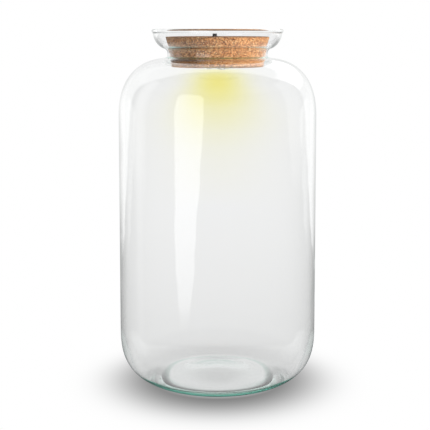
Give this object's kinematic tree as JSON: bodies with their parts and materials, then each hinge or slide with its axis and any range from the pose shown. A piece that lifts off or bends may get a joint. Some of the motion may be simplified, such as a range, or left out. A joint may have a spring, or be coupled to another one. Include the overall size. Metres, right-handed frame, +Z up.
{
  "type": "glass terrarium jar",
  "caption": "Tall round clear glass terrarium jar with a flared lip, a tapered cork stopper and a battery lamp in the cork's underside, switched by a push button on top.",
  "frame": {"origin": "centre of the foot ring, on the surface that the jar stands on", "axes": "+Z up along the jar's axis; the front of the picture looks along +Y, with +X to the right"},
  "size_m": [0.2368, 0.2368, 0.43],
  "materials": {
    "glass": "clear, faintly green, polished",
    "cork": "pressed cork granules, matte",
    "milky_plastic": "milky, fine speckle",
    "white_plastic": "moulded, satin",
    "white_board": "white lacquered circuit board",
    "light_chip": "yellow phosphor under clear resin, lit",
    "chip": "grey ceramic",
    "bronze": "bronzed steel",
    "solder": "flux-browned solder",
    "lead_skin": "pale insulation",
    "spring_metal": "nickelled spring steel",
    "cell_sleeve": "plain printed sleeve",
    "black_plastic": "moulded, satin"
  },
  "bodies": {
    "root": {"glass_jar": "glass", "cork_stopper": "cork", "lamp_plate": "milky_plastic", "plate_screw_1": "bronze", "plate_screw_2": "bronze", "plate_screw_3": "bronze", "led_board": "white_board", "led_1": "light_chip", "led_2": "light_chip", "led_3": "light_chip", "led_4": "light_chip", "led_5": "light_chip", "board_resistor": "chip", "solder_dot_1": "solder", "solder_dot_2": "solder", "lead_switched": "lead_skin", "lead_minus": "lead_skin", "lead_plus": "lead_skin", "lamp_housing": "white_plastic", "battery_cell_1": "cell_sleeve", "battery_cell_2": "cell_sleeve", "battery_cell_3": "cell_sleeve", "contact_plus": "spring_metal", "contact_minus": "spring_metal", "contact_link_1": "spring_metal", "contact_link_2": "spring_metal", "switch_body": "black_plastic"},
    "button": {"switch_button": "black_plastic"}
  },
  "joints": [
    {"name": "button_press", "type": "slide", "parent": "root", "child": "button", "axis": [0, 0, -1], "range_m": [0, 0.0015], "stiffness_N_per_m": 800}
  ]
}
